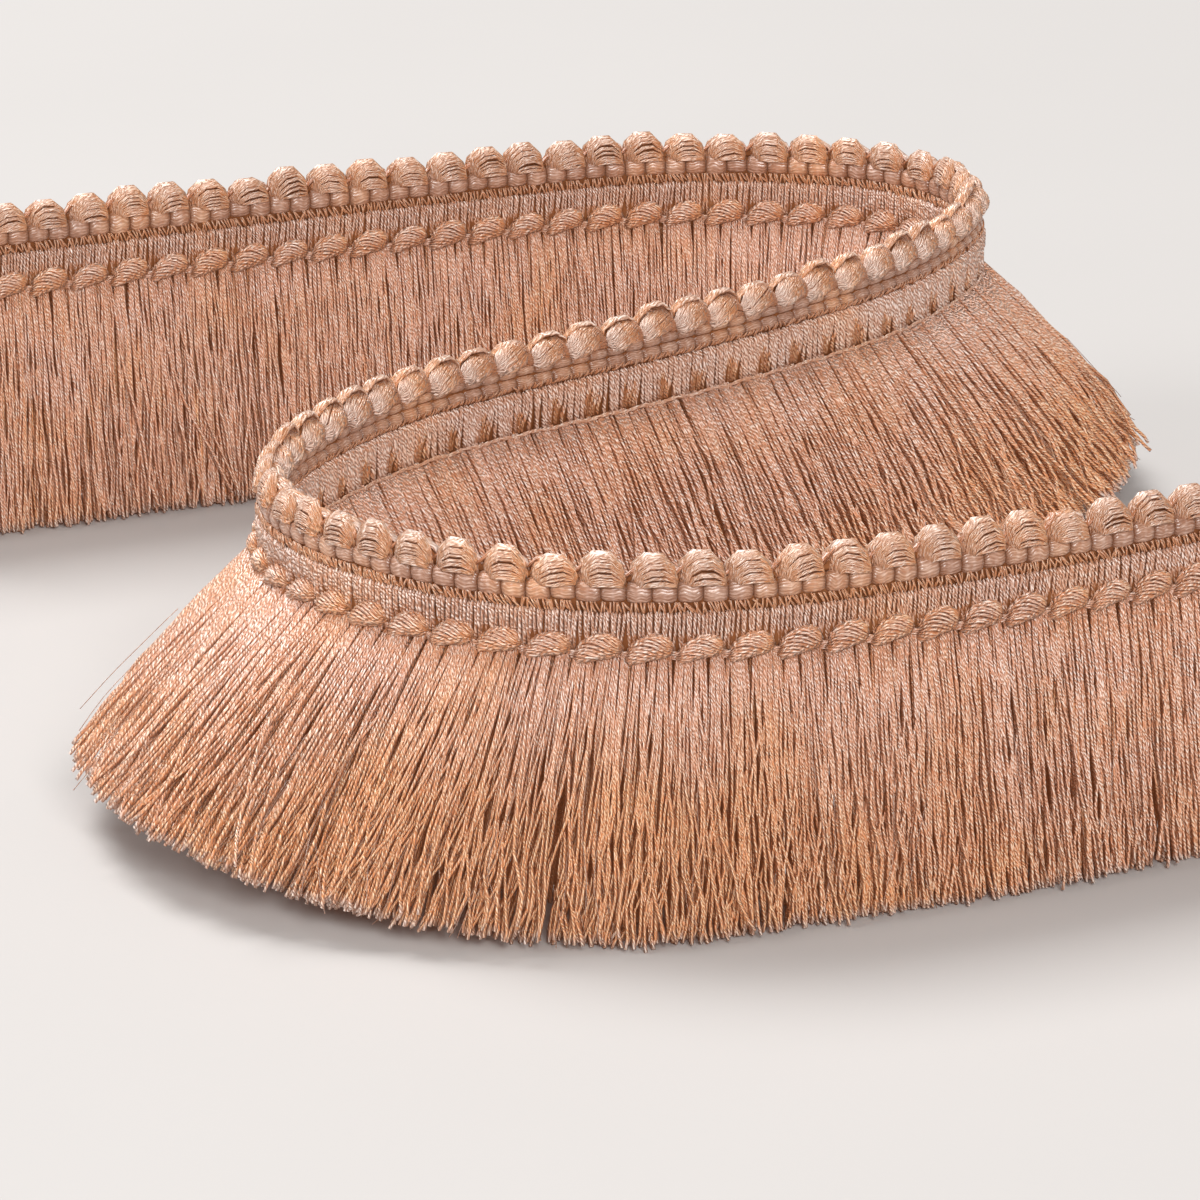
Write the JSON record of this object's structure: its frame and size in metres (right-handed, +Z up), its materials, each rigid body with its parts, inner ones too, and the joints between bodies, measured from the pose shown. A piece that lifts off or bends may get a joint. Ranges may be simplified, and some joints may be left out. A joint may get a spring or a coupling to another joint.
{
  "type": "brush fringe trim",
  "caption": "Length of brush fringe trim with a looped top edge, ribbed braid, knotted row and dense cut-yarn skirt, standing on its fringe in an S-shaped curve.",
  "frame": {"origin": "on the surface that the cut fringe ends rest on, in the middle of the layout's bounding box", "axes": "+Z up, from the fringe's cut ends to the looped edge; +Y from the front pass to the back pass of the S; +X to the right as seen from the front"},
  "size_m": [0.3121, 0.3475, 0.0743],
  "materials": {
    "loop_yarn": "satin twisted viscose yarn",
    "braid_yarn": "satin twisted viscose yarn",
    "band_yarn": "satin twisted viscose yarn",
    "knot_yarn": "satin twisted viscose yarn",
    "fringe_yarn": "satin twisted viscose yarn, cut ends"
  },
  "bodies": {
    "root": {"loop_edge": "loop_yarn", "ribbed_braid": "braid_yarn", "yarn_band": "band_yarn", "knot_row": "knot_yarn", "fringe_01": "fringe_yarn", "fringe_02": "fringe_yarn", "fringe_03": "fringe_yarn", "fringe_04": "fringe_yarn", "fringe_05": "fringe_yarn", "fringe_06": "fringe_yarn", "fringe_07": "fringe_yarn", "fringe_08": "fringe_yarn", "fringe_09": "fringe_yarn", "fringe_10": "fringe_yarn", "fringe_11": "fringe_yarn", "fringe_12": "fringe_yarn", "fringe_13": "fringe_yarn", "fringe_14": "fringe_yarn", "fringe_15": "fringe_yarn", "fringe_16": "fringe_yarn"}
  },
  "joints": []
}
